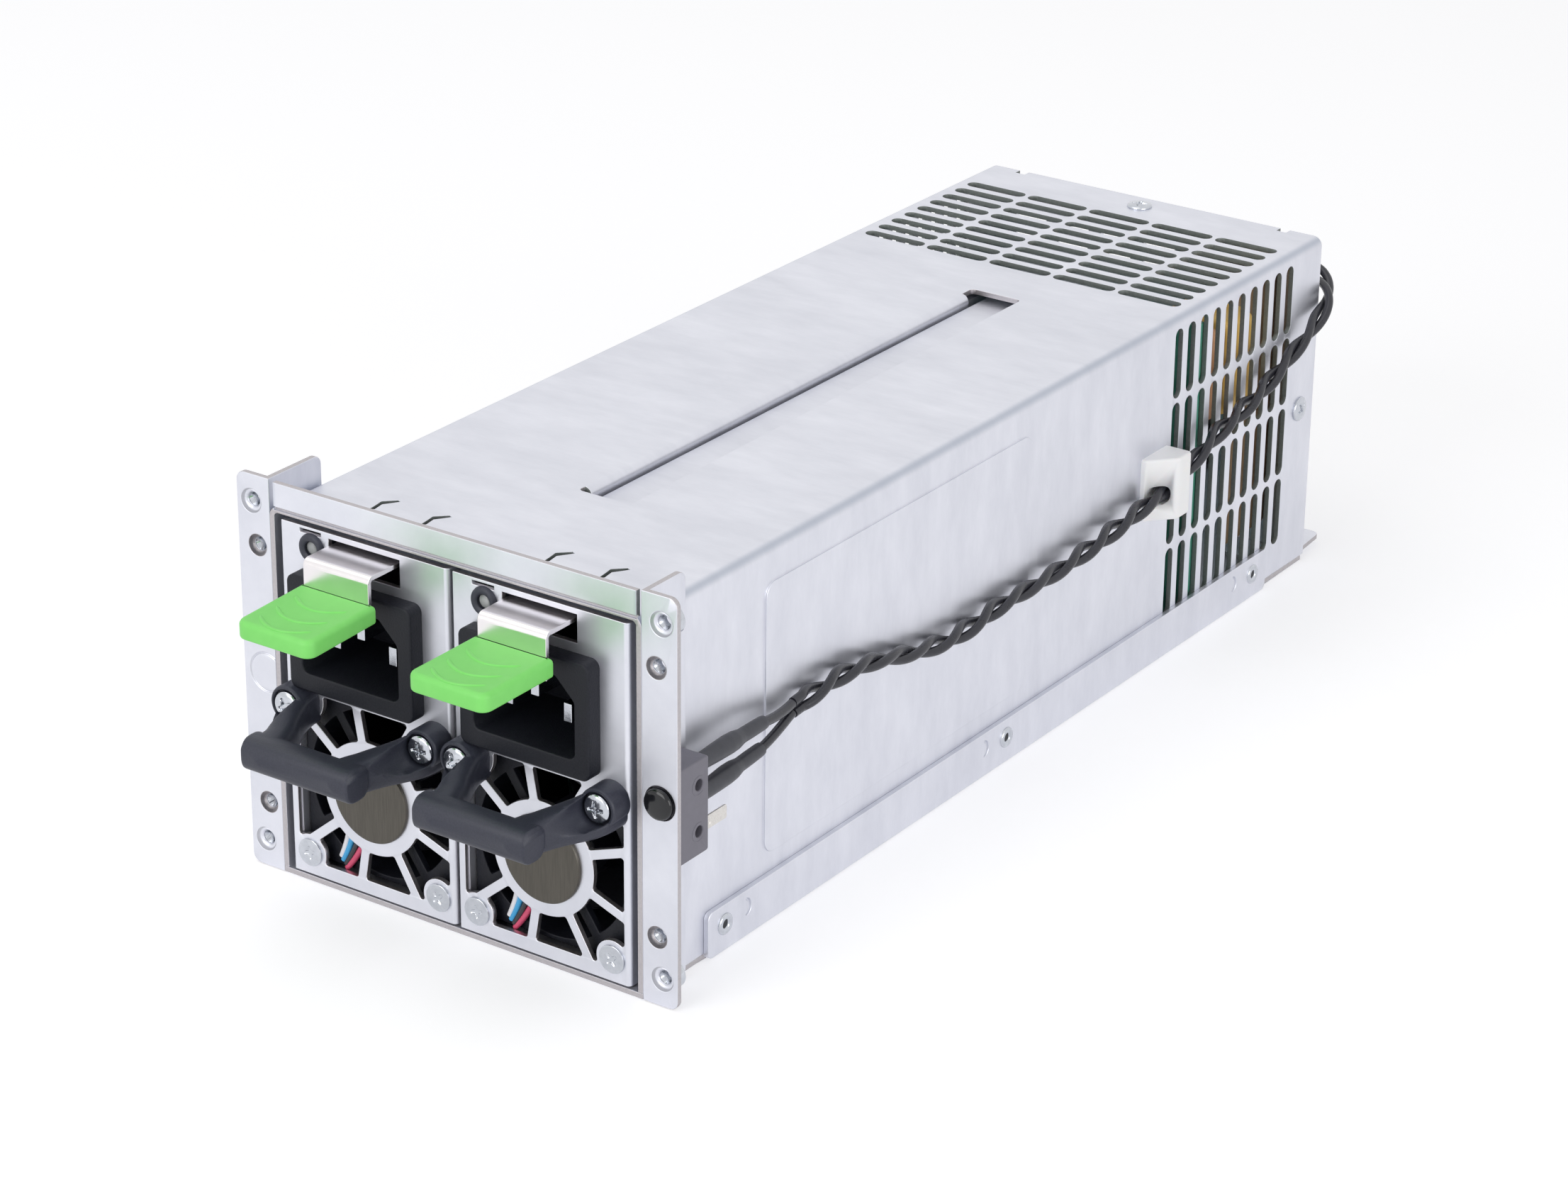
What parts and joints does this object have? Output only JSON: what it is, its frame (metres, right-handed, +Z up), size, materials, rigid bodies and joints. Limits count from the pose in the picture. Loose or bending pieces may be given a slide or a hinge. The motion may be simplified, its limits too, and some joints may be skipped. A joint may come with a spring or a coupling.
{
  "type": "redundant power supply",
  "caption": "Hot swap server power supply: a vented steel cage holding two slide-out modules with fans, mains inlets, handles and green release tabs.",
  "frame": {"origin": "centre of the four outer ear holes, on the front face of the mounting ears", "axes": "+X to the right seen from the front, +Y to the back along the cage, +Z up"},
  "size_m": [0.106, 0.301, 0.0852],
  "materials": {
    "steel": "galvanised satin",
    "plated": "polished",
    "zinc": "bright zinc",
    "hub_metal": "brushed dark",
    "black_plastic": "fine grain",
    "green_plastic": "satin",
    "white_plastic": "satin",
    "clear": "clear",
    "board": "solder mask",
    "wire": "satin",
    "sleeve": "satin",
    "brass": "plated",
    "tape": "satin",
    "ferrite": "matte",
    "copper": "enamelled wire",
    "can": "sleeved",
    "lead_mix": "satin"
  },
  "bodies": {
    "cage": {"base_tray": "steel", "tray_rivets": "zinc", "top_cover": "steel", "cover_screws": "zinc", "left_ear": "steel", "right_ear": "steel", "rear_panel": "steel", "output_trim": "black_plastic", "cord_grommet": "wire", "foot_bracket": "steel", "distribution_board": "board", "board_sockets": "black_plastic", "taped_winding": "tape", "taped_core": "ferrite", "output_choke": "copper", "board_capacitors": "can", "alarm_switch": "black_plastic", "switch_terminals": "brass", "twisted_pair": "wire", "upper_wire": "wire", "lower_wire": "wire", "heat_shrinks": "sleeve", "tie_mount": "white_plastic"},
    "alarm_button": {"push_button": "black_plastic"},
    "module_left": {"left_front_panel": "steel", "left_panel_screws": "zinc", "left_handle_screws": "zinc", "left_hub_disc": "hub_metal", "left_handle": "black_plastic", "left_inlet": "black_plastic", "left_inlet_pins": "brass", "left_light_holder": "black_plastic", "left_light": "clear", "left_housing": "steel", "left_circuit_board": "board", "left_bulk_capacitor": "can", "left_transformer": "tape", "left_fan_frame": "black_plastic", "left_fan_leads": "lead_mix"},
    "latch_left": {"left_latch_plate": "plated", "left_latch_tab": "green_plastic"},
    "rotor_left": {"left_fan_rotor": "black_plastic"},
    "module_right": {"right_front_panel": "steel", "right_panel_screws": "zinc", "right_handle_screws": "zinc", "right_hub_disc": "hub_metal", "right_handle": "black_plastic", "right_inlet": "black_plastic", "right_inlet_pins": "brass", "right_light_holder": "black_plastic", "right_light": "clear", "right_housing": "steel", "right_circuit_board": "board", "right_bulk_capacitor": "can", "right_transformer": "tape", "right_fan_frame": "black_plastic", "right_fan_leads": "lead_mix"},
    "latch_right": {"right_latch_plate": "plated", "right_latch_tab": "green_plastic"},
    "rotor_right": {"right_fan_rotor": "black_plastic"}
  },
  "joints": [
    {"name": "alarm_button_press", "type": "slide", "parent": "cage", "child": "alarm_button", "axis": [0, 1, 0], "range_m": [0, 0.0008], "stiffness_N_per_m": 600, "springref_m": -0.0006},
    {"name": "module_left_slide", "type": "slide", "parent": "cage", "child": "module_left", "axis": [0, -1, 0], "range_m": [0, 0.19]},
    {"name": "latch_left_hinge", "type": "hinge", "parent": "module_left", "child": "latch_left", "pos_m": [-0.0212, 0.034, 0.0307], "axis": [1, 0, 0], "range_deg": [0, 4], "stiffness_Nm_per_rad": 0.6, "springref_deg": -3.44},
    {"name": "fan_left_spin", "type": "hinge", "parent": "module_left", "child": "rotor_left", "pos_m": [-0.0212, 0.012, -0.0197], "axis": [0, 1, 0], "continuous": true},
    {"name": "module_right_slide", "type": "slide", "parent": "cage", "child": "module_right", "axis": [0, -1, 0], "range_m": [0, 0.19]},
    {"name": "latch_right_hinge", "type": "hinge", "parent": "module_right", "child": "latch_right", "pos_m": [0.0212, 0.034, 0.0307], "axis": [1, 0, 0], "range_deg": [0, 4], "stiffness_Nm_per_rad": 0.6, "springref_deg": -3.44},
    {"name": "fan_right_spin", "type": "hinge", "parent": "module_right", "child": "rotor_right", "pos_m": [0.0212, 0.012, -0.0197], "axis": [0, 1, 0], "continuous": true}
  ]
}
